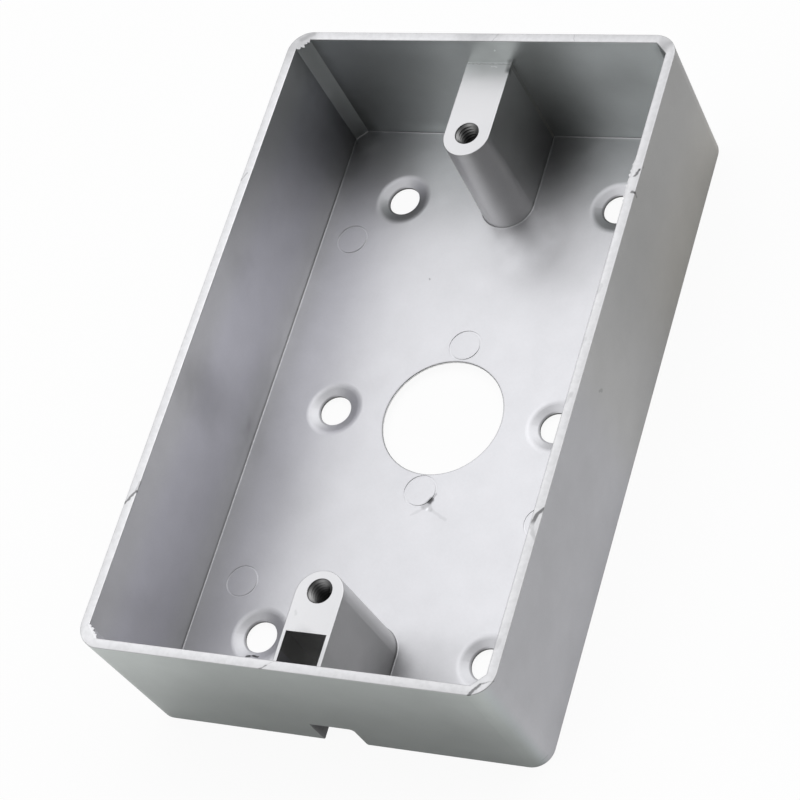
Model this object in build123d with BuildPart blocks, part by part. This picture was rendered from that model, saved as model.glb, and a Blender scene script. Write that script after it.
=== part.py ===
"""Surface mounting box, pressure die-cast in aluminium as one piece.

The box takes a flush plate, such as one with a switch or a push button, on its open front.
It stands on its back: +Z runs from the back plane to the open rim, and +Y along the length,
away from the cable notch. The origin is the middle of the back plane. Sizes are in
millimetres and degrees.
"""

from build123d import *
from math import radians, tan
import os

# Outside of the tray, measured at the open rim
rim_width = 70.0
rim_length = 115.0
box_depth = 28.0
corner_radius = 4.0
wall = 1.6
base_thickness = 1.5

# Draft angles that let the casting leave its die, and the finish of its corners and edges
outer_draft = 1.2
inner_draft = 0.7
inner_corner_bevel = 2.0
back_edge_round = 0.4
edge_round = 0.15
floor_round = 0.25

# Screw posts, one against each end wall, a little lower than the rim. A setback is how far the
# round nose of a post lies out from its thread.
plate_screw_spacing = 83.3
post_width = 8.2
post_recess = 5.8
post_draft = 1.5
upper_nose_setback = -0.3
lower_nose_setback = 0.65
thread_size = 4.0
thread_mouth = 4.2
thread_depth = 14.0

# Rectangular cable duct down through the lower post
duct_width = 6.9
duct_length = 6.9
duct_land = 0.4

# Cable notch in the lower end wall, at the back plane
notch_width = 7.6
notch_height = 6.3
notch_round = 0.8

# Round cable hole and six screw holes in the base. Each screw hole lies in a shallow round dish
# that flows softly into the floor. All the holes are bevelled from behind.
cable_hole = 21.0
cable_hole_bevel = 1.1
hole_edge_break = 0.1
screw_hole = 5.5
screw_hole_bevel = 0.5
screw_dish = 9.2
screw_dish_angle = 144.0
dish_edge_round = 3.0
screw_pitch_x = 40.0
screw_pitch_y = 41.65

# Fine ring lines that the ejector pins leave on the floor
ejector_mark = 5.7
ejector_line = 0.25
ejector_depth = 0.1
ejector_places = [(-27.2, 33.0), (0.1, 13.6), (0.1, -13.6), (-26.3, -32.7), (22.3, -17.3)]

# Places that follow from the sizes above
post_top = box_depth - post_recess
thread_y = plate_screw_spacing / 2
upper_nose_y = thread_y + upper_nose_setback
lower_nose_y = -thread_y - lower_nose_setback
end_wall_inside = rim_length / 2 - wall
post_spread = (post_top - base_thickness) * tan(radians(post_draft))
duct_y = end_wall_inside - duct_land - duct_length / 2

# The cavity, made as a solid of its own, with flat facets across its corners. Each post is a
# slot in it, with a full-round nose towards the middle, so that the posts grow out of the end
# walls and the floor with no seam.
with BuildPart() as cavity:
    with BuildSketch(Plane.XY.offset(box_depth)):
        opening = Rectangle(rim_width - 2 * wall, rim_length - 2 * wall)
        chamfer(opening.vertices(), inner_corner_bevel)
    extrude(amount=base_thickness - box_depth)
    walls = cavity.faces().filter_by(Axis.Z, reverse=True)
    draft(walls, Plane.XY.offset(box_depth), -inner_draft)
    with BuildSketch(Plane.XY.offset(base_thickness)):
        for nose_y, end_y in ((upper_nose_y, rim_length / 2), (lower_nose_y, -rim_length / 2)):
            with Locations((0, nose_y)):
                Circle(post_width / 2 + post_spread)
            with Locations((0, (nose_y + end_y) / 2)):
                Rectangle(post_width + 2 * post_spread, abs(end_y - nose_y))
    extrude(amount=post_top - base_thickness, taper=post_draft, mode=Mode.SUBTRACT)
    post_tops = cavity.faces().filter_by(Plane.XY).sort_by(Axis.Z)[1:3]
    fillet(post_tops.edges().filter_by(Axis.X, reverse=True), edge_round)
    fillet(cavity.faces().sort_by(Axis.Z)[0].edges(), floor_round)

with BuildPart() as mounting_box:
    # Tray with drafted walls and rounded corners, hollowed by the cavity
    with BuildSketch(Plane.XY.offset(box_depth)):
        RectangleRounded(rim_width, rim_length, corner_radius)
    extrude(amount=-box_depth, taper=outer_draft)
    fillet(mounting_box.faces().sort_by(Axis.Z)[0].edges(), back_edge_round)
    add(cavity.part, mode=Mode.SUBTRACT)
    fillet(mounting_box.faces().sort_by(Axis.Z)[-1].edges(), edge_round)

    # Holes in the base, sunk from the floor of the tray
    with Locations((0, 0, base_thickness)):
        Hole(radius=cable_hole / 2)
        cable_hole_rims = mounting_box.edges(Select.LAST).sort_by(Axis.Z)
        with GridLocations(screw_pitch_x, screw_pitch_y, 2, 3):
            CounterSinkHole(
                radius=screw_hole / 2,
                counter_sink_radius=screw_dish / 2,
                counter_sink_angle=screw_dish_angle,
            )
        screw_hole_rims = mounting_box.edges(Select.LAST).group_by(Axis.Z)
    chamfer(cable_hole_rims[0], cable_hole_bevel)
    chamfer(cable_hole_rims[-1], hole_edge_break)
    chamfer(screw_hole_rims[0], screw_hole_bevel)
    fillet(screw_hole_rims[-1], dish_edge_round)

    # Tapped hole in the top of each post, with a lead-in at its mouth
    with Locations((0, thread_y, post_top), (0, -thread_y, post_top)):
        CounterSinkHole(
            radius=thread_size / 2,
            counter_sink_radius=thread_mouth / 2,
            counter_sink_angle=90,
            depth=thread_depth,
        )

    # Duct from the top of the lower post to the back
    with BuildSketch(Plane.XY.offset(post_top)):
        with Locations((0, -duct_y)):
            Rectangle(duct_width, duct_length)
    extrude(amount=-post_top, mode=Mode.SUBTRACT)

    # Notch through the end wall into the duct. One side of it is worn round at both corners.
    with BuildSketch(Plane.XZ.offset(rim_length / 2)):
        side = notch_width / 2
        with BuildLine():
            flare = (side + notch_round, 0)
            shoulder = (side - notch_round, notch_height)
            Polyline(flare, (-side, 0), (-side, notch_height), shoulder)
            TangentArc(shoulder, (side, notch_height - notch_round), tangent=(1, 0))
            Line((side, notch_height - notch_round), (side, notch_round))
            TangentArc((side, notch_round), flare, tangent=(0, -1))
        make_face()
    extrude(amount=duct_y - rim_length / 2, mode=Mode.SUBTRACT)

    # Ejector-pin marks
    with BuildSketch(Plane.XY.offset(base_thickness)):
        with Locations(*ejector_places):
            Circle(ejector_mark / 2)
            Circle(ejector_mark / 2 - ejector_line, mode=Mode.SUBTRACT)
    extrude(amount=-ejector_depth, mode=Mode.SUBTRACT)

mounting_box.part.label = "mounting_box"
os.makedirs("parts", exist_ok=True)
export_step(mounting_box.part, "parts/mounting_box.step")
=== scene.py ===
import math
import bpy
import bmesh
from mathutils import Matrix, Vector


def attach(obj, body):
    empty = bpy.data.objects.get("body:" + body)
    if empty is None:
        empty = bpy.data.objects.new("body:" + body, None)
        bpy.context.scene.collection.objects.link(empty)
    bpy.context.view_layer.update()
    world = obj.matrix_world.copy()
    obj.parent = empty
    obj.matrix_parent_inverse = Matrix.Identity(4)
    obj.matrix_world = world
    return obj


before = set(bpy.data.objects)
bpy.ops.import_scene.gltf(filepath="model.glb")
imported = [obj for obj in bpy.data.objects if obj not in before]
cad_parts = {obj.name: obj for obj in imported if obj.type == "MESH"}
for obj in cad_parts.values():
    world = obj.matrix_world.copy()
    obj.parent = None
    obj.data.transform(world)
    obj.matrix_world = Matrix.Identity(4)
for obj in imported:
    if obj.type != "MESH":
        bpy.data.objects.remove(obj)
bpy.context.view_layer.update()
scene = bpy.context.scene
scene.view_settings.view_transform = "Standard"

# View. The camera looks down into the open front from the lower right, turned so that the
# long side of the box climbs to the right.
aim = Vector((0.00168, -0.00368, 0.014))
sight = Vector((-0.444583, 0.417264, -0.792614)).normalized()
camera_distance = 0.42902
camera_roll = 35.874
sensor_width = 36.0
lens_length = 121.978
picture_shift = (-0.022586, -0.000418)
sight_range = 20.0

camera = bpy.data.objects.new("camera", bpy.data.cameras.new("camera"))
scene.collection.objects.link(camera)
camera.location = aim - sight * camera_distance
upright = sight.to_track_quat("-Z", "Y").to_matrix()
camera.rotation_euler = (Matrix.Rotation(math.radians(camera_roll), 3, sight) @ upright).to_euler()
camera.data.sensor_width = sensor_width
camera.data.lens = lens_length
camera.data.shift_x, camera.data.shift_y = picture_shift
camera.data.clip_end = sight_range
scene.camera = camera


# Studio. Large soft boxes hang overhead, most of them beyond the upper end of the box, and low
# white walls stand all round. The camera sees those walls pure white, and so does the table,
# which keeps a little of the object's shadow. Each soft box has its direction and its strength.
# Heights in the sky run from 0 at the horizon to 1 overhead.
box_spread = 9.0
soft_boxes = {
    "beyond_low": ((0.33, 0.80, 0.50), 0.963),
    "beyond_right": ((0.45, 0.45, 0.77), 1.022),
    "beyond": ((0.0, 0.64, 0.77), 1.411),
    "beyond_left": ((-0.45, 0.45, 0.77), 0.796),
    "near_left": ((-0.45, -0.45, 0.77), 1.363),
    "top": ((-0.28, 0.20, 0.94), 0.831),
}
wall_height = 0.139
wall_fade = 4.5
wall_light = 0.25
wall_for_metal = 0.4
table_half = 3.0
table_white = 0.8
table_for_camera = 0.93
table_for_metal = 0.1


def new_group(name, inputs, outputs):
    """Make an empty shader node group with the named inputs and outputs."""
    group = bpy.data.node_groups.new(name, "ShaderNodeTree")
    for label, kind, value in inputs:
        socket = group.interface.new_socket(label, in_out="INPUT", socket_type="NodeSocket" + kind)
        if value is not None:
            socket.default_value = value
    for label, kind in outputs:
        group.interface.new_socket(label, in_out="OUTPUT", socket_type="NodeSocket" + kind)
    return group, group.nodes.new("NodeGroupInput"), group.nodes.new("NodeGroupOutput")


def math_node(tree, operation, first, second=0.0, third=0.0):
    """Add a Math node; each operand is a number or a socket to link."""
    node = tree.nodes.new("ShaderNodeMath")
    node.operation = operation
    for slot, value in enumerate((first, second, third)):
        if isinstance(value, (int, float)):
            node.inputs[slot].default_value = value
        else:
            tree.links.new(value, node.inputs[slot])
    return node.outputs[0]


def vector_node(tree, operation, first, second=(0.0, 0.0, 0.0), output="Vector"):
    """Add a Vector Math node; each operand is a vector or a socket to link."""
    node = tree.nodes.new("ShaderNodeVectorMath")
    node.operation = operation
    for slot, value in enumerate((first, second)):
        if isinstance(value, (tuple, Vector)):
            node.inputs[slot].default_value = value
        else:
            tree.links.new(value, node.inputs[slot])
    return node.outputs[output]


def split_node(tree, vector):
    """Add a Separate XYZ node and give its three outputs."""
    node = tree.nodes.new("ShaderNodeSeparateXYZ")
    tree.links.new(vector, node.inputs["Vector"])
    return node.outputs


def ray_kinds(tree):
    """Say whether a ray comes straight from the camera, and whether a surface sent it on."""
    ray = tree.nodes.new("ShaderNodeLightPath").outputs
    sent_on = math_node(tree, "MAXIMUM", ray["Is Glossy Ray"], ray["Is Transmission Ray"])
    return ray["Is Camera Ray"], sent_on


soft_box, given, result = new_group(
    "soft_box",
    [("Direction", "Vector", None), ("Spread", "Float", box_spread), ("Strength", "Float", 1.0)],
    [("Light", "Float")],
)
looking = soft_box.nodes.new("ShaderNodeTexCoord").outputs["Generated"]
towards = vector_node(soft_box, "DOT_PRODUCT", looking, given.outputs["Direction"], "Value")
away = math_node(soft_box, "SUBTRACT", towards, 1.0)
fall_off = math_node(soft_box, "EXPONENT", math_node(soft_box, "MULTIPLY", away, given.outputs["Spread"]))
light = math_node(soft_box, "MULTIPLY", fall_off, given.outputs["Strength"])
soft_box.links.new(light, result.inputs["Light"])

world = bpy.data.worlds.new("studio")
scene.world = world
world.use_nodes = True
tree = world.node_tree
tree.nodes.clear()
sky_height = split_node(tree, tree.nodes.new("ShaderNodeTexCoord").outputs["Generated"])["Z"]
off_wall = math_node(tree, "POWER", math_node(tree, "SUBTRACT", sky_height, wall_height), 2.0)
band = math_node(tree, "EXPONENT", math_node(tree, "MULTIPLY", off_wall, -wall_fade))
straight, mirrored = ray_kinds(tree)
wall_level = math_node(tree, "MULTIPLY_ADD", mirrored, wall_for_metal - wall_light, wall_light)
studio_light = math_node(tree, "MULTIPLY", band, wall_level)
for name, (direction, strength) in soft_boxes.items():
    lamp = tree.nodes.new("ShaderNodeGroup")
    lamp.name = name
    lamp.node_tree = soft_box
    lamp.inputs["Direction"].default_value = Vector(direction).normalized()
    lamp.inputs["Strength"].default_value = strength
    studio_light = math_node(tree, "ADD", studio_light, lamp.outputs["Light"])
background = tree.nodes.new("ShaderNodeBackground")
background.inputs["Color"].default_value = (1, 1, 1, 1)
tree.links.new(math_node(tree, "MAXIMUM", studio_light, straight), background.inputs["Strength"])
world_output = tree.nodes.new("ShaderNodeOutputWorld")
tree.links.new(background.outputs["Background"], world_output.inputs["Surface"])

table_mesh = bpy.data.meshes.new("floor")
table_corners = [(x * table_half, y * table_half, 0) for x, y in ((-1, -1), (1, -1), (1, 1), (-1, 1))]
table_mesh.from_pydata(table_corners, [], [(0, 1, 2, 3)])
table = bpy.data.objects.new("floor", table_mesh)
scene.collection.objects.link(table)

table_paint = bpy.data.materials.new("table_paint")
table_paint.use_nodes = True
tree = table_paint.node_tree
tree.nodes.clear()
paint = tree.nodes.new("ShaderNodeBsdfDiffuse")
paint.inputs["Color"].default_value = (table_white, table_white, table_white, 1)
glow = tree.nodes.new("ShaderNodeEmission")
straight, mirrored = ray_kinds(tree)
mirror_share = math_node(tree, "MULTIPLY", mirrored, table_for_metal)
camera_share = math_node(tree, "MULTIPLY", straight, table_for_camera)
table_shader = tree.nodes.new("ShaderNodeMixShader")
tree.links.new(math_node(tree, "ADD", camera_share, mirror_share), table_shader.inputs["Fac"])
tree.links.new(paint.outputs["BSDF"], table_shader.inputs[1])
tree.links.new(glow.outputs["Emission"], table_shader.inputs[2])
table_output = tree.nodes.new("ShaderNodeOutputMaterial")
tree.links.new(table_shader.outputs["Shader"], table_output.inputs["Surface"])
table_mesh.materials.append(table_paint)


# Casting. The whole box is one aluminium die casting with a fine, slightly uneven satin skin. Its tone is
# painted darker in the deep corners, recesses and creases as painted shade, and lighter or darker
# elsewhere as painted light and reflections; its rim and post tops are ground flat after casting.
mm = 0.001

# where its faces and features lie, and how wide their edges are
half_width = 35.0 * mm
half_length = 57.5 * mm
mid_height = 14 * mm
outer_wall_share = 0.955
inner_wall_share = 0.9
floor_share = 0.975
post_half_width = 5.6 * mm
post_end = 55.3 * mm
floor_below = 5.0 * mm
ground_above = 22.0 * mm
rim_above = 25.0 * mm
rim_edge_above = 27.84 * mm
seam_band = (1.78 * mm, 1.7 * mm)
floor_band = (1.5 * mm, 1.53 * mm)
groove_below = 1.495 * mm
row_pitch = 41.65 * mm
hole_across = 20.0 * mm
mouth_band = (3.15 * mm, 2.85 * mm)
land_band = (2.9 * mm, 2.8 * mm)
cable_hole_radius = 10.5 * mm
cable_edge_width = 0.3 * mm
bore_radius = 2.0 * mm
bore_along = 41.65 * mm
bore_edge_width = 0.14 * mm
ring_radius = 2.72 * mm
ring_width = 0.35 * mm

# where the ejector rings lie, across and along in millimetres, and how much painted light lifts the shade
# in their grooves
ring_places = [
    (-27.2, 33.0, 1.22),
    (0.1, 13.6, 1.12),
    (0.1, -13.6, 1.1),
    (-26.3, -32.7, 1.25),
    (22.3, -17.3, 1.16),
]

# an arc like those rings, on the right rim
crescent_centre = Vector((37.1, -29.8, 0)) * mm
crescent_radius = 3.24 * mm
crescent_width = 0.42 * mm

# its tints, its plain tone, and factors on that tone, several of them painted light and shade at the
# rim's edge and at the holes
cool_tint = (0.985, 0.987, 1.028, 1)
violet_tint = (0.98, 0.975, 1.05, 1)
green_tint = (0.972, 1.03, 1.005, 1)
warm_tint = (1.03, 1.008, 0.955, 1)
base_tone = 0.5
ground_tint_share = 0.6
edge_highlight_tone = 1.8
mouth_shade_tone = 0.5
land_shade_tone = 0.4
bore_shade = 0.32
cable_rim_shade = 0.82
cable_cut_light = 1.9
ring_tone = 0.96

# its grain, the raggedness of its stains and scratches, and its roughness
grain_scale = 2400.0
cloud_scale = 190.0
fleck_scale = 1300.0
grain_share = 0.06
cloud_share = 0.12
ground_grain = 0.4
broad_scale = 240.0
broad_push = 4.0 * mm
fine_scale = 1600.0
fine_push = 0.4 * mm
satin_roughness = 0.4
extra_roughness = 0.5
bump_strength = 0.12
bump_height = 0.05 * mm


def use_group(tree, group, name, **values):
    """Add a group node; each value is a constant or a socket to link, by its input's name."""
    node = tree.nodes.new("ShaderNodeGroup")
    node.node_tree = group
    node.name = name
    for label, value in values.items():
        socket = node.inputs[label]
        if isinstance(value, bpy.types.NodeSocket):
            tree.links.new(value, socket)
        else:
            socket.default_value = value
    return node.outputs


def map_node(tree, value, start, end, low, high):
    """Add a smooth Map Range node that turns start..end into low..high."""
    node = tree.nodes.new("ShaderNodeMapRange")
    node.interpolation_type = "SMOOTHSTEP"
    tree.links.new(value, node.inputs["Value"])
    node.inputs["From Min"].default_value = start
    node.inputs["From Max"].default_value = end
    node.inputs["To Min"].default_value = low
    node.inputs["To Max"].default_value = high
    return node.outputs["Result"]


def mask_node(tree, value, start, end):
    """Add a smooth mask that is 0 at the start and 1 at the end."""
    return map_node(tree, value, start, end, 0.0, 1.0)


def both(tree, first, second):
    """Add a mask that holds where both masks do."""
    return math_node(tree, "MULTIPLY", first, second)


def noise_node(tree, vector, scale, detail, output="Fac"):
    """Add a 3-D Noise Texture node."""
    node = tree.nodes.new("ShaderNodeTexNoise")
    tree.links.new(vector, node.inputs["Vector"])
    node.inputs["Scale"].default_value = scale
    node.inputs["Detail"].default_value = detail
    return node.outputs[output]


def shade(tree, tone, mask, factor):
    """Multiply a tone by the factor, a number or a socket, where the mask is 1."""
    change = math_node(tree, "SUBTRACT", factor, 1.0)
    return math_node(tree, "MULTIPLY", tone, math_node(tree, "MULTIPLY_ADD", mask, change, 1.0))


def tinted(tree, colour, mask, tint):
    """Multiply a colour by the tint where the mask is 1."""
    node = tree.nodes.new("ShaderNodeMix")
    node.data_type = "RGBA"
    node.blend_type = "MULTIPLY"
    sockets = {entry.identifier: entry for entry in node.inputs}
    tree.links.new(mask, sockets["Factor_Float"])
    tree.links.new(colour, sockets["A_Color"])
    sockets["B_Color"].default_value = tint
    return [entry for entry in node.outputs if entry.identifier == "Result_Color"][0]


def grey_colour(tree, tone):
    """Turn a tone into a grey colour."""
    node = tree.nodes.new("ShaderNodeCombineColor")
    for channel in ("Red", "Green", "Blue"):
        tree.links.new(tone, node.inputs[channel])
    return node.outputs["Color"]


def ragged(tree, place, scale, push):
    """Push places about a little, so that painted spots, patches and scratches get ragged edges."""
    swirl = noise_node(tree, place, scale, 1.0, "Color")
    swirl = vector_node(tree, "SUBTRACT", swirl, (0.5, 0.5, 0.5))
    swirl = vector_node(tree, "MULTIPLY", swirl, (push, push, push))
    return vector_node(tree, "ADD", place, swirl)


# a soft ellipsoid spot, for painted light and shade and for darker patches
soft_spot, given, result = new_group(
    "soft_spot",
    [("Place", "Vector", None), ("Centre", "Vector", None), ("Reach", "Vector", None)],
    [("Mask", "Float")],
)
offset = vector_node(soft_spot, "SUBTRACT", given.outputs["Place"], given.outputs["Centre"])
offset = vector_node(soft_spot, "DIVIDE", offset, given.outputs["Reach"])
distance = vector_node(soft_spot, "LENGTH", offset, output="Value")
soft_spot.links.new(mask_node(soft_spot, distance, 1.0, 0.1), result.inputs["Mask"])

# a fine line between two points, for cracks, scratches, a burr, painted glints and painted shade
hairline, given, result = new_group(
    "hairline",
    [
        ("Place", "Vector", None),
        ("Start", "Vector", None),
        ("End", "Vector", None),
        ("Width", "Float", 0.1 * mm),
    ],
    [("Mask", "Float")],
)
from_start = vector_node(hairline, "SUBTRACT", given.outputs["Place"], given.outputs["Start"])
whole = vector_node(hairline, "SUBTRACT", given.outputs["End"], given.outputs["Start"])
done = vector_node(hairline, "DOT_PRODUCT", from_start, whole, "Value")
length = vector_node(hairline, "DOT_PRODUCT", whole, whole, "Value")
share = math_node(hairline, "DIVIDE", done, length)
share = math_node(hairline, "MINIMUM", math_node(hairline, "MAXIMUM", share, 0.0), 1.0)
along_line = hairline.nodes.new("ShaderNodeVectorMath")
along_line.operation = "SCALE"
hairline.links.new(whole, along_line.inputs["Vector"])
hairline.links.new(share, along_line.inputs["Scale"])
distance = vector_node(hairline, "DISTANCE", from_start, along_line.outputs["Vector"], "Value")
widths = math_node(hairline, "DIVIDE", distance, given.outputs["Width"])
hairline.links.new(mask_node(hairline, widths, 1.0, 0.3), result.inputs["Mask"])

# a thin circle around an upright axis
ring_line, given, result = new_group(
    "ring_line",
    [
        ("Place", "Vector", None),
        ("Centre", "Vector", None),
        ("Radius", "Float", 1.0),
        ("Width", "Float", 0.1 * mm),
    ],
    [("Mask", "Float")],
)
offset = vector_node(ring_line, "SUBTRACT", given.outputs["Place"], given.outputs["Centre"])
offset = vector_node(ring_line, "MULTIPLY", offset, (1.0, 1.0, 0.0))
distance = vector_node(ring_line, "LENGTH", offset, output="Value")
distance = math_node(ring_line, "SUBTRACT", distance, given.outputs["Radius"])
distance = math_node(ring_line, "ABSOLUTE", distance)
widths = math_node(ring_line, "DIVIDE", distance, given.outputs["Width"])
ring_line.links.new(mask_node(ring_line, widths, 1.0, 0.4), result.inputs["Mask"])

# the grain that blasting leaves, with softer clouds in it
blasted_grain, given, result = new_group(
    "blasted_grain", [("Strength", "Float", 1.0)], [("Tone", "Float"), ("Height", "Float")]
)
place = blasted_grain.nodes.new("ShaderNodeTexCoord").outputs["Object"]
grain = noise_node(blasted_grain, place, grain_scale, 3.0)
clouds = noise_node(blasted_grain, place, cloud_scale, 2.0)
fine = math_node(blasted_grain, "SUBTRACT", grain, 0.5)
fine = math_node(blasted_grain, "MULTIPLY", fine, grain_share)
broad = math_node(blasted_grain, "SUBTRACT", clouds, 0.5)
broad = math_node(blasted_grain, "MULTIPLY", broad, cloud_share)
uneven = math_node(blasted_grain, "ADD", fine, broad)
uneven = math_node(blasted_grain, "MULTIPLY_ADD", uneven, given.outputs["Strength"], 1.0)
blasted_grain.links.new(uneven, result.inputs["Tone"])
blasted_grain.links.new(grain, result.inputs["Height"])

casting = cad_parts["mounting_box"]
satin = bpy.data.materials.new("cast_aluminium")
satin.use_nodes = True
tree = satin.node_tree
metal = tree.nodes["Principled BSDF"]

# where a point lies on the casting, and which way its face looks
coordinates = tree.nodes.new("ShaderNodeTexCoord").outputs
exact_place = coordinates["Object"]
broad_place = ragged(tree, exact_place, broad_scale, broad_push)
fine_place = ragged(tree, exact_place, fine_scale, fine_push)
across, along, height = split_node(tree, exact_place)
facing_x, facing_y, facing_z = split_node(tree, coordinates["Normal"])
level_normal = vector_node(tree, "MULTIPLY", coordinates["Normal"], (1.0, 1.0, 0.0))
outward = vector_node(tree, "DOT_PRODUCT", exact_place, level_normal, "Value")
off_axis = math_node(tree, "ABSOLUTE", across)
off_middle = math_node(tree, "ABSOLUTE", along)
side_share = math_node(tree, "DIVIDE", off_axis, half_width)
end_share = math_node(tree, "DIVIDE", off_middle, half_length)
wall_share = math_node(tree, "MAXIMUM", side_share, end_share)
from_side = math_node(tree, "SUBTRACT", half_width, off_axis)
from_end = math_node(tree, "SUBTRACT", half_length, off_middle)
from_edge = math_node(tree, "MINIMUM", from_side, from_end)

# masks of its faces
upward = mask_node(tree, facing_z, 0.5, 0.9)
sideways = mask_node(tree, math_node(tree, "ABSOLUTE", facing_z), 0.5, 0.2)
to_right = mask_node(tree, facing_x, 0.4, 0.8)
to_near = mask_node(tree, facing_y, -0.4, -0.8)
above_back = math_node(tree, "GREATER_THAN", facing_z, -0.5)
in_outer_wall = both(tree, math_node(tree, "GREATER_THAN", wall_share, outer_wall_share), sideways)
in_inner_wall = both(tree, math_node(tree, "GREATER_THAN", wall_share, inner_wall_share), sideways)
outside = both(tree, in_outer_wall, math_node(tree, "GREATER_THAN", outward, 0.0))
inner_wall = both(tree, in_inner_wall, math_node(tree, "LESS_THAN", outward, 0.0))
left_wall = both(tree, inner_wall, to_right)
end_wall = both(tree, inner_wall, to_near)
right_side = both(tree, outside, to_right)
near_side = both(tree, outside, to_near)
by_post = math_node(tree, "LESS_THAN", off_axis, post_half_width)
by_post = both(tree, by_post, math_node(tree, "LESS_THAN", off_middle, post_end))
post_side = both(tree, by_post, sideways)
floor_face = both(tree, upward, math_node(tree, "LESS_THAN", height, floor_below))
ground_face = both(tree, upward, math_node(tree, "GREATER_THAN", height, ground_above))
rim_face = both(tree, ground_face, math_node(tree, "GREATER_THAN", height, rim_above))
post_top = both(tree, ground_face, math_node(tree, "LESS_THAN", height, rim_above))
within = both(tree, math_node(tree, "SUBTRACT", 1.0, outside), above_back)

# its tone, with painted light and shade: the inner walls are painted darker deep inside and lighter
# towards the rim, and the other fades paint the light, shade and reflections across the outer walls, the
# ground faces and the rim's rounded edge. Each fade has its faces, what it runs along, from where to
# where in millimetres, and its two factors.
evenness = math_node(tree, "MULTIPLY_ADD", ground_face, ground_grain - 1.0, 1.0)
grain = use_group(tree, blasted_grain, "grain", Strength=evenness)
tone = grain["Tone"]
painted_light_fades = [
    (inner_wall, height, 2, 26, 0.98, 1.34),
    (left_wall, along, 4, -10, 1.0, 0.9),
    (right_side, along, 26, -12, 0.78, 1.08),
    (right_side, along, 34, 52, 1.0, 0.92),
    (right_side, height, 2, 26, 1.16, 0.93),
    (near_side, height, 8, 30, 0.8, 1.05),
    (near_side, across, -32, -6, 1.14, 0.94),
    (near_side, across, 23, 32, 1.0, 1.12),
    (ground_face, across, -35, 35, 1.09, 0.88),
    (ground_face, along, 56, 5, 0.97, 1.05),
    (rim_face, from_edge, 0.2, 1.3, 0.93, 1.04),
]
for faces, run, start, end, first, last in painted_light_fades:
    tone = shade(tree, tone, faces, map_node(tree, run, start * mm, end * mm, first, last))
flecks = noise_node(tree, exact_place, fleck_scale, 2.0)
tone = shade(tree, tone, rim_face, map_node(tree, flecks, 0.35, 0.65, 0.96, 1.03))
# a painted highlight along the rim's inner edge
rim_edge = math_node(tree, "GREATER_THAN", height, rim_edge_above)
edge_highlight = both(tree, rim_edge, mask_node(tree, facing_x, -0.1, -0.5))
tone = shade(tree, tone, edge_highlight, edge_highlight_tone)

# painted light and shade in soft spots, kept off the outer faces: painted shade in the deep corners, at
# the feet of the posts, in the cable duct, on the notch jamb and where the upper post meets the end wall;
# painted light and reflections on the floor, with painted shade on it near the walls and posts; and less
# painted light on the end wall above the upper post. The centre and reach of each in millimetres, and its
# factor
light_and_shade_spots = {
    "corner_foot": ((-34, 52, 1), (6, 12, 20), 0.68),
    "corner_head": ((-33, 55.5, 26), (5, 8, 15), 0.72),
    "corner_column": ((-32, 54.5, 8), (4.5, 5, 26), 0.74),
    "right_corner": ((32.8, 55, 27), (2.5, 2.5, 6), 0.6),
    "post_foot": ((5, 53, 0), (10, 16, 22), 0.62),
    "lower_post_foot": ((4.8, -50, 1), (5, 12, 12), 0.6),
    "floor_upper_left": ((-14, 52, 1.5), (13, 14, 4), 1.4),
    "floor_upper_right": ((19, 51, 1.5), (9, 11, 4), 1.16),
    "floor_by_post": ((6, 34, 1.5), (7, 8, 3), 1.4),
    "floor_right": ((17, 33, 1.5), (11, 14, 3), 0.92),
    "floor_left": ((-31, 8, 1.5), (9, 30, 3), 1.15),
    "floor_low_left": ((-29, -42, 1.5), (10, 16, 3), 0.88),
    "floor_low_right": ((10, -46, 1.5), (14, 11, 3), 0.8),
    "wall_above_post": ((0, 56, 25.5), (7, 5, 7), 0.8),
    "duct": ((0, -52.2, 15), (5, 5, 22), 0.5),
    "notch_jamb": ((-3.7, -55.6, 4), (1.6, 4, 6), 0.5),
    "post_crease_shade": ((4.4, 54.9, 22.2), (1.1, 1.6, 1.6), 0.25),
}
# darker patches on the left wall; the lowest one, along its foot, is painted shade
left_wall_patches = {
    "left_wall_upper": ((-33, 45, 12), (4, 7, 15), 0.86),
    "left_wall_head": ((-33, -4, 26), (4, 16, 7), 0.9),
    "left_wall_blotch": ((-33, -9, 20), (4, 8, 13), 0.81),
    "left_wall_low": ((-33, -2, 2), (4, 15, 12), 0.82),
    "left_wall_spot": ((-33, -6, 4), (3, 2.5, 3), 0.85),
    "left_wall_streak": ((-33, 14, 22), (3, 5, 7), 0.9),
}
# painted light on the end wall at its left corner, at the post's foot and along its head, and painted
# shade to its right
end_wall_light_and_shade = {
    "end_corner_foot": ((-30, 56, 4), (3.5, 4, 14), 1.12),
    "end_post_foot": ((8, 56, 5), (7, 4, 12), 1.3),
    "end_head": ((-8, 56, 28), (24, 4, 7), 1.16),
    "end_right": ((23, 56, 19), (8, 4, 8), 0.88),
}
# painted light and reflection on the upper post's round front, and painted shade on the lower post's
# front
post_light_and_shade = {
    "post_nose": ((-3, 36, 12), (9, 8, 36), 1.75),
    "lower_nose": ((5, -41.5, 6), (4, 6, 20), 0.78),
}
# painted light on the upper post's top by the end wall
post_top_light = {
    "post_top_end": ((0, 57, 22), (14, 6.5, 14), 1.5),
}
# each set of painted spots, with the faces it lies on and how ragged its edges are
for faces, place, spots in (
    (within, broad_place, light_and_shade_spots),
    (left_wall, broad_place, left_wall_patches),
    (end_wall, exact_place, end_wall_light_and_shade),
    (post_side, exact_place, post_light_and_shade),
    (post_top, exact_place, post_top_light),
):
    for name, (centre, reach, factor) in spots.items():
        centre = Vector(centre) * mm
        reach = Vector(reach) * mm
        spot = use_group(tree, soft_spot, name, Place=place, Centre=centre, Reach=reach)
        tone = shade(tree, tone, both(tree, spot["Mask"], faces), factor)

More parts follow.
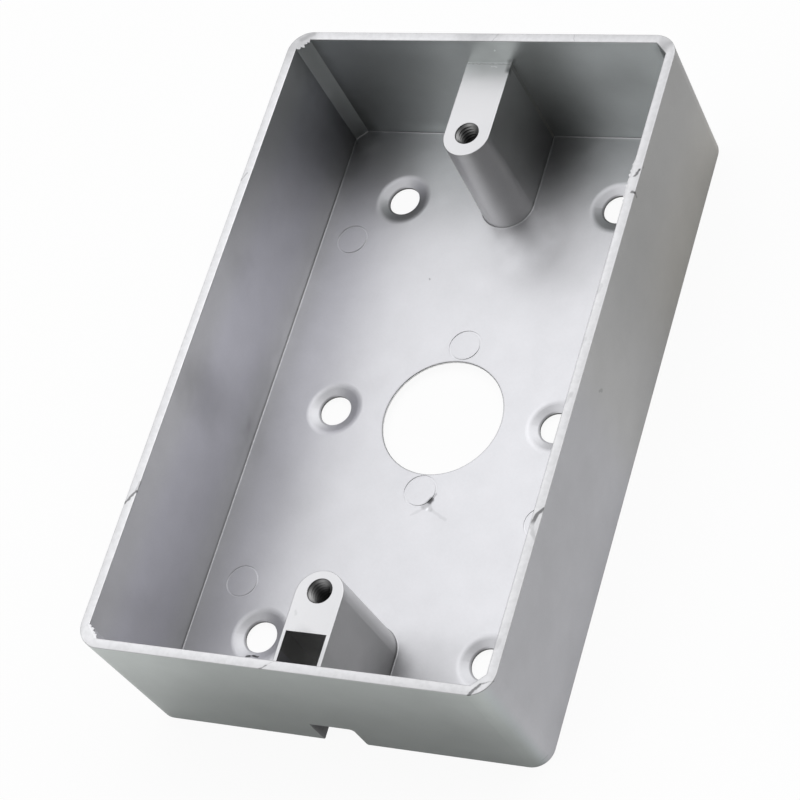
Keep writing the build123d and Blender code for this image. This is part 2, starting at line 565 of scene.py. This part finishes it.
# painted shade along the seams where the walls meet the floor
seam_shade = both(tree, mask_node(tree, height, *seam_band), mask_node(tree, height, *floor_band))
seam_shade = both(tree, seam_shade, math_node(tree, "LESS_THAN", wall_share, floor_share))
tone = shade(tree, tone, seam_shade, map_node(tree, along, 20 * mm, 45 * mm, 1.0, 0.92))
tone = shade(tree, tone, seam_shade, map_node(tree, across, -20 * mm, 8 * mm, 0.82, 0.84))

# painted light and shade on the dishes and edges of the screw holes, all six at once because their places
# repeat: each dish lighter on one side and darker on the other, its mouth darker on one side, and the
# wall of each hole darker
folded = tree.nodes.new("ShaderNodeCombineXYZ")
tree.links.new(math_node(tree, "SUBTRACT", off_axis, hole_across), folded.inputs["X"])
tree.links.new(math_node(tree, "PINGPONG", off_middle, row_pitch / 2), folded.inputs["Y"])
from_hole = vector_node(tree, "LENGTH", folded.outputs["Vector"], output="Value")
dish = both(tree, floor_face, mask_node(tree, facing_z, 0.995, 0.97))
tone = shade(tree, tone, dish, map_node(tree, facing_x, -0.3, 0.3, 1.17, 0.84))
mouth_shade = both(tree, dish, mask_node(tree, from_hole, *mouth_band))
mouth_shade = both(tree, mouth_shade, mask_node(tree, facing_x, 0.0, 0.2))
tone = shade(tree, tone, mouth_shade, mouth_shade_tone)
land_shade = mask_node(tree, from_hole, *land_band)
tone = shade(tree, tone, both(tree, land_shade, sideways), land_shade_tone)

# the trimmed edge of the cable hole, painted darker along its top and painted lighter on its rougher cut
# face; painted shade at the bores of the threads; and the ejector rings, their grooves painted paler
cable_edge = use_group(
    tree, ring_line, "cable_edge", Place=exact_place, Radius=cable_hole_radius, Width=cable_edge_width
)
trimmed = both(tree, cable_edge["Mask"], sideways)
tone = shade(tree, tone, both(tree, cable_edge["Mask"], upward), cable_rim_shade)
tone = shade(tree, tone, trimmed, cable_cut_light)
# painted shade around the bore of each thread
for name, side in (("upper_bore", 1), ("lower_bore", -1)):
    centre = Vector((0, side * bore_along, 0))
    bore = use_group(
        tree, ring_line, name, Place=exact_place, Centre=centre, Radius=bore_radius, Width=bore_edge_width
    )
    tone = shade(tree, tone, bore["Mask"], bore_shade)
# each ring a touch darker on the floor, and its groove painted paler to lift the shade in it
in_groove = math_node(tree, "LESS_THAN", height, groove_below)
for number, (x, y, groove_light) in enumerate(ring_places):
    name = f"ring_{number}"
    centre = Vector((x, y, 0)) * mm
    ring = use_group(
        tree, ring_line, name, Place=fine_place, Centre=centre, Radius=ring_radius, Width=ring_width
    )
    tone = shade(tree, tone, both(tree, ring["Mask"], floor_face), ring_tone)
    tone = shade(tree, tone, both(tree, ring["Mask"], in_groove), groove_light)
crescent = use_group(
    tree,
    ring_line,
    "rim_crescent",
    Place=fine_place,
    Centre=crescent_centre,
    Radius=crescent_radius,
    Width=crescent_width,
)
on_rim = both(tree, crescent["Mask"], rim_face)
tone = shade(tree, tone, on_rim, map_node(tree, along, -30.3 * mm, -29.2 * mm, 0.85, 0.3))

# hairline cracks and scratches on the rim and floor, a burr at a screw hole that is partly painted shade,
# painted highlights (the glint lines) and painted shade where the upper post meets the end wall: the two
# ends and the width of each in millimetres, and its factor
scratches_and_glints = {
    "rim_left": ((-34.8, -33.0, 28), (-33.6, -30.8, 28), 0.3, 0.35),
    "rim_left_end": ((-33.6, -30.8, 28), (-33.45, -29.2, 28), 0.35, 0.7),
    "rim_upper_left": ((-34.9, 27.2, 28), (-34.2, 28.7, 28), 0.2, 0.7),
    "rim_corner": ((-32.9, 55.9, 28), (-30.9, 57.1, 28), 0.6, 0.8),
    "rim_top": ((2.6, 55.9, 28), (3.4, 57.4, 28), 0.13, 0.7),
    "rim_top_right": ((16.8, 57.4, 28), (17.1, 56.0, 28), 0.1, 0.75),
    "rim_right": ((34.15, 30.6, 28), (34.65, 31.8, 28), 0.3, 0.3),
    "rim_right_end": ((34.65, 31.8, 28), (35.0, 32.6, 27.6), 0.2, 0.5),
    "rim_right_nick": ((34.45, 27.7, 28), (34.95, 27.6, 27.9), 0.3, 0.35),
    "rim_right_nick_end": ((34.95, 27.6, 27.9), (34.97, 27.5, 26.9), 0.35, 0.6),
    "rim_smear_upper": ((33.5, 9.4, 28), (33.9, 10.8, 28), 0.45, 0.86),
    "rim_smear_middle": ((33.5, 0.2, 28), (33.8, 1.4, 28), 0.4, 0.9),
    "rim_smear_lower": ((33.6, -9.6, 28), (34.1, -8.0, 28), 0.45, 0.86),
    "rim_near": ((-2.4, -57.5, 28), (-1.4, -56.8, 28), 0.16, 0.5),
    "rim_near_end": ((-1.4, -56.8, 28), (-0.4, -56.0, 28), 0.1, 0.7),
    "rim_crack": ((32.9, -55.6, 28), (31.6, -57.4, 28), 0.32, 0.35),
    "rim_crack_side": ((34.8, -54.8, 27.8), (33.0, -55.5, 28), 0.2, 0.5),
    "rim_corner_smear": ((34.0, -48.6, 28), (33.7, -49.8, 28), 0.5, 0.88),
    "star_stem": ((2.95, -13.9, 1.5), (2.45, -15.1, 1.5), 0.35, 0.68),
    "star_core": ((2.55, -14.9, 1.5), (2.3, -15.4, 1.5), 0.6, 0.3),
    "star_tail": ((2.45, -15.2, 1.5), (1.6, -16.3, 1.5), 0.75, 0.72),
    "star_side": ((2.3, -15.6, 1.5), (2.9, -16.8, 1.5), 0.5, 0.84),
    "star_left": ((1.5, -16.7, 1.5), (-0.2, -18.0, 1.5), 0.35, 0.9),
    "star_right": ((3.1, -16.8, 1.5), (6.0, -18.3, 1.5), 0.4, 0.9),
    "star_glint": ((2.3, -16.7, 1.5), (2.25, -16.8, 1.5), 0.3, 1.25),
    "hole_burr_and_shade_left": ((-21.2, -45.4, 1.25), (-20.8, -45.3, 1.2), 0.35, 0.2),
    "hole_burr_and_shade_middle": ((-20.8, -45.3, 1.2), (-20.2, -45.1, 1.15), 0.25, 0.5),
    "hole_burr_and_shade_right": ((-20.2, -45.1, 1.15), (-19.3, -45.2, 1.2), 0.3, 0.15),
    "post_junction_shade": ((-4.0, 55.55, 22.2), (4.0, 55.45, 22.2), 0.18, 0.78),
    "post_glint": ((0.6, 55.0, 22.2), (1.6, 54.95, 22.2), 0.15, 1.3),
    "wall_glint": ((2.1, 55.9, 25.4), (2.2, 55.9, 25.6), 0.25, 1.4),
    "outer_speck": ((34.84, -3.3, 20.6), (34.81, -2.7, 19.6), 0.35, 0.75),
    "post_scratch": ((-2.9, -45.3, 22.2), (-2.7, -45.9, 22.2), 0.3, 0.88),
    "speck": ((-10.3, 26.0, 1.5), (-10.2, 25.9, 1.5), 0.2, 0.6),
}
for name, (start, end, width, factor) in scratches_and_glints.items():
    start = Vector(start) * mm
    end = Vector(end) * mm
    line = use_group(tree, hairline, name, Place=fine_place, Start=start, End=end, Width=width * mm)
    tone = shade(tree, tone, line["Mask"], factor)

# its colour: a cool grey that turns violet, green or warm in places
colour = grey_colour(tree, math_node(tree, "MULTIPLY", tone, base_tone))
off_mid_height = math_node(tree, "ABSOLUTE", math_node(tree, "SUBTRACT", height, mid_height))
middle = map_node(tree, off_mid_height, 12 * mm, 4 * mm, 0.3, 1.0)
middle = both(tree, middle, math_node(tree, "SUBTRACT", 1.0, to_near))
upper_half = mask_node(tree, along, 8 * mm, 30 * mm)
upper_half = both(tree, upper_half, map_node(tree, height, 22 * mm, 3 * mm, 0.2, 1.0))
lower_half = mask_node(tree, along, 0.0, -12 * mm)
for mask, tint in (
    (floor_face, cool_tint),
    (both(tree, left_wall, middle), violet_tint),
    (end_wall, green_tint),
    (near_side, green_tint),
    (both(tree, right_side, upper_half), warm_tint),
    (both(tree, right_side, lower_half), cool_tint),
    (math_node(tree, "MULTIPLY", ground_face, ground_tint_share), cool_tint),
):
    colour = tinted(tree, colour, mask, tint)
tree.links.new(colour, metal.inputs["Base Color"])
metal.inputs["Metallic"].default_value = 1.0
roughness = math_node(tree, "MULTIPLY_ADD", trimmed, extra_roughness, satin_roughness)
tree.links.new(roughness, metal.inputs["Roughness"])
bump = tree.nodes.new("ShaderNodeBump")
bump.inputs["Strength"].default_value = bump_strength
bump.inputs["Distance"].default_value = bump_height
tree.links.new(grain["Height"], bump.inputs["Height"])
tree.links.new(bump.outputs["Normal"], metal.inputs["Normal"])
casting.data.materials.clear()
casting.data.materials.append(satin)


# Threads. The two holes in the post tops are tapped M4; each piece is the cut ridge that winds down the
# wall of its hole, part of the casting and cut with a tap. It is painted dark, and darker with its depth,
# as painted shade inside its hole.
thread_pitch = 0.7 * mm
thread_top = 21.95 * mm
thread_end = 9.0 * mm
ridge_foot = 2.03 * mm
ridge_crest = 1.62 * mm
foot_share = 0.46
crest_share = 0.06
ridge_outline = (
    (ridge_foot, foot_share),
    (ridge_crest, crest_share),
    (ridge_crest, -crest_share),
    (ridge_foot, -foot_share),
)
steps_per_turn = 40
thread_roughness = 0.28
thread_grain = 1.5
dark_level = 18.5 * mm
bright_level = 21.9 * mm
dark_tone = 0.04
bright_tone = 0.2


def add_bar(name, rows, material):
    """Make a piece of the casting from rows of corners, joined row to row and closed at both ends."""
    bar = bmesh.new()
    rings = [[bar.verts.new(corner) for corner in row] for row in rows]
    for upper, lower in zip(rings, rings[1:]):
        for first in range(len(upper)):
            second = (first + 1) % len(upper)
            bar.faces.new((upper[first], upper[second], lower[second], lower[first]))
    bar.faces.new(rings[0][::-1])
    bar.faces.new(rings[-1])
    bmesh.ops.recalc_face_normals(bar, faces=bar.faces)
    mesh = bpy.data.meshes.new(name)
    bar.to_mesh(mesh)
    bar.free()
    mesh.materials.append(material)
    piece = bpy.data.objects.new(name, mesh)
    scene.collection.objects.link(piece)
    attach(piece, "root")


cut_metal = bpy.data.materials.new("cut_thread")
cut_metal.use_nodes = True
tree = cut_metal.node_tree
metal = tree.nodes["Principled BSDF"]
grain = use_group(tree, blasted_grain, "grain", Strength=thread_grain)
height = split_node(tree, tree.nodes.new("ShaderNodeTexCoord").outputs["Object"])["Z"]
# painted shade: darker deeper down the hole
depth_shade = map_node(tree, height, dark_level, bright_level, dark_tone, bright_tone)
colour = grey_colour(tree, math_node(tree, "MULTIPLY", grain["Tone"], depth_shade))
tree.links.new(colour, metal.inputs["Base Color"])
metal.inputs["Metallic"].default_value = 1.0
metal.inputs["Roughness"].default_value = thread_roughness
for name, side in (("upper_thread", 1), ("lower_thread", -1)):
    rows = []
    for step in range(int((thread_top - thread_end) / thread_pitch * steps_per_turn) + 1):
        angle = 2 * math.pi * step / steps_per_turn
        level = thread_top - thread_pitch * step / steps_per_turn
        row = []
        for radius, rise in ridge_outline:
            x = radius * math.cos(angle)
            y = side * bore_along + radius * math.sin(angle)
            row.append((x, y, level + rise * thread_pitch))
        rows.append(row)
    add_bar(name, rows, cut_metal)


# Flash. Thin ragged slivers of the same aluminium hang over the inner edge of the rim where the
# metal crept between the halves of the die; they are part of the casting. Each run has its two
# ends on the edge, the way it reaches inwards, and how far, in millimetres.
flash_top = 27.98 * mm
flash_thickness = 0.12 * mm
flash_root = 0.3 * mm
flash_step = 0.22 * mm
flash_least = 0.12
flash_undercut = 0.6
flash_waves = (2.1, 0.73)
flash_runs = {
    "corner_flash": ((-33.2, 53.9), (-31.3, 55.9), (0.8, -0.6), 0.9),
    "right_flash": ((33.45, 25.8), (33.45, 33.6), (-1.0, 0.0), 0.42),
    "near_flash": ((-33.45, -53.8), (-31.3, -55.95), (1.0, 1.0), 0.5),
}
for name, (start, end, inward, reach) in flash_runs.items():
    start = Vector((*start, 0)) * mm
    end = Vector((*end, 0)) * mm
    inward = Vector((*inward, 0)).normalized()
    count = int((end - start).length / flash_step)
    rows = []
    for step in range(count + 1):
        share = step / count
        rough = abs(math.sin(flash_waves[0] * step) * math.sin(flash_waves[1] * step + 1.0))
        raggedness = flash_least + (1 - flash_least) * rough
        depth = reach * mm * raggedness * math.sin(math.pi * share) ** 0.5
        row = []
        for offset, drop in ((-flash_root, 0), (depth, 0), (depth * flash_undercut, 1), (-flash_root, 1)):
            corner = start.lerp(end, share) + inward * offset
            corner.z = flash_top - flash_thickness * drop
            row.append(corner)
        rows.append(row)
    add_bar(name, rows, satin)
